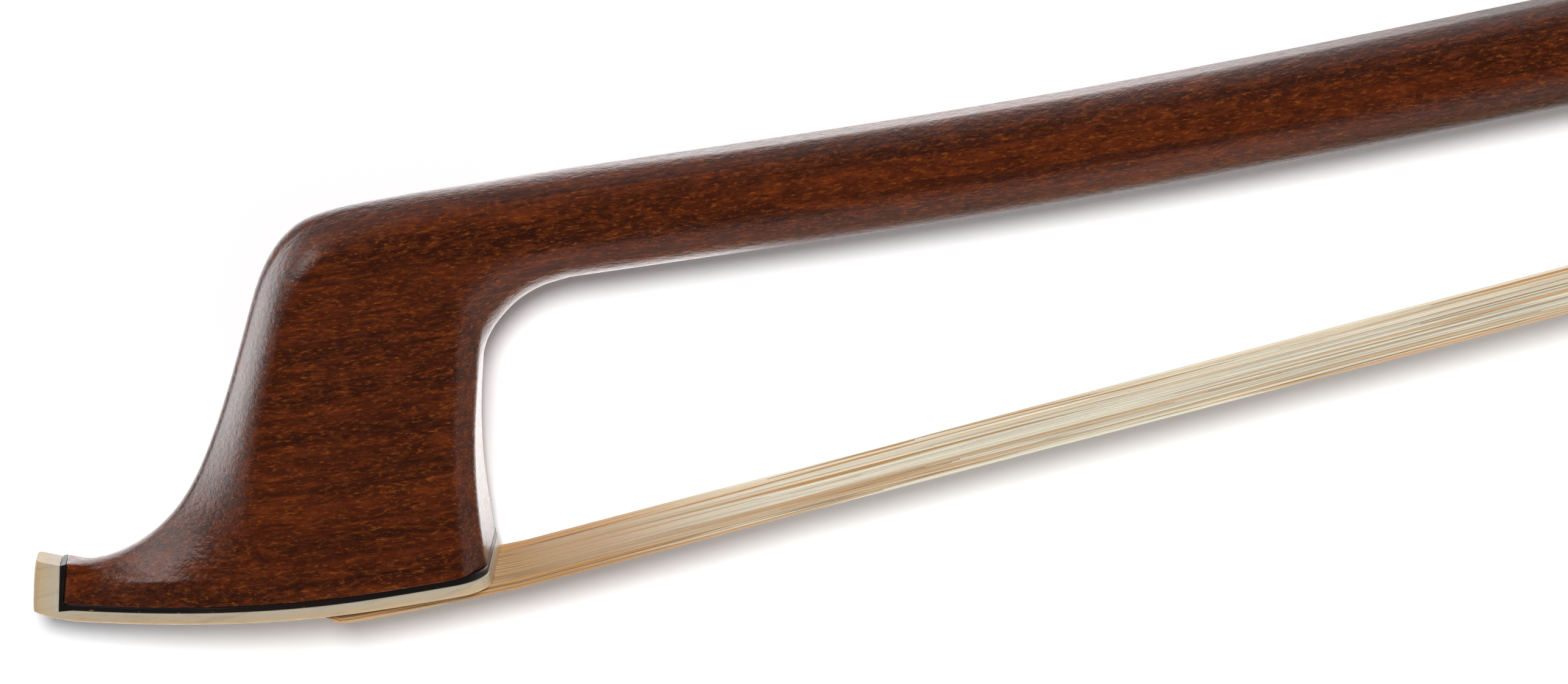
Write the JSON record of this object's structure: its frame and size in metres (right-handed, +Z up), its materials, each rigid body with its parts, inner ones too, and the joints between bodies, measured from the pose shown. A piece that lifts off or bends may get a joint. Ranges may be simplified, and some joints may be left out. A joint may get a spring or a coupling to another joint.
{
  "type": "cello bow",
  "caption": "Cello bow with a carved wooden stick and head, flat hair ribbon, ivory-coloured tip plate, ebony frog and a turning adjuster that slides the frog.",
  "frame": {"origin": "on the table under the middle of the bow's outer box, the bow lying on its side", "axes": "+X along the hair from the head to the button, +Y from the hair to the stick, +Z up, sideways through the bow"},
  "size_m": [0.714, 0.0414, 0.015],
  "materials": {
    "stick_wood": "oiled and polished red-brown hardwood with orange flecks",
    "ebony": "polished ebony",
    "tip_ivory": "polished, ivory-coloured",
    "hair": "bleached horse hair",
    "knot_thread": "waxed thread",
    "plug_maple": "bare maple",
    "grip_leather": "dark smooth leather",
    "winding_wire": "wound silver wire",
    "silver": "polished silver",
    "pearl": "polished mother-of-pearl",
    "brass": "machined",
    "screw_steel": "turned"
  },
  "bodies": {
    "stick": {"stick": "stick_wood", "head_liner": "ebony", "tip_plate": "tip_ivory", "hair_ribbon": "hair", "head_hair_knot": "knot_thread", "head_plug": "plug_maple", "thumb_leather": "grip_leather", "silver_winding": "winding_wire"},
    "frog": {"frog_body": "ebony", "frog_underslide": "silver", "underslide_screw_front": "silver", "underslide_screw_rear": "silver", "ferrule": "silver", "slide_backing": "ebony", "slide_pearl": "pearl", "spread_wedge": "plug_maple", "frog_plug": "plug_maple", "frog_hair_knot": "knot_thread", "heel_plate_bottom": "silver", "heel_plate_rear": "silver", "heel_pin_upper": "silver", "heel_pin_middle": "silver", "heel_pin_lower": "silver", "eye_ring_left": "silver", "eye_pearl_left": "pearl", "eye_ring_right": "silver", "eye_pearl_right": "pearl", "eyelet": "brass"},
    "adjuster": {"adjuster_screw": "screw_steel", "button_core": "ebony", "button_front_ring": "silver", "button_end_cap": "silver", "button_eye": "pearl"}
  },
  "joints": [
    {"name": "screw_turn", "type": "hinge", "parent": "stick", "child": "adjuster", "pos_m": [0.27708, 0.0063, 0.0075], "axis": [-0.9934, -0.1147, 0], "range_deg": [0, 3600]},
    {"name": "frog_slide", "type": "slide", "parent": "stick", "child": "frog", "axis": [0.9934, 0.1147, 0], "range_m": [0, 0.006], "deforming": ["hair_ribbon"]}
  ],
  "couplings": [
    {"joint": "screw_turn", "follows": "frog_slide", "rad_per_m": 10472}
  ]
}
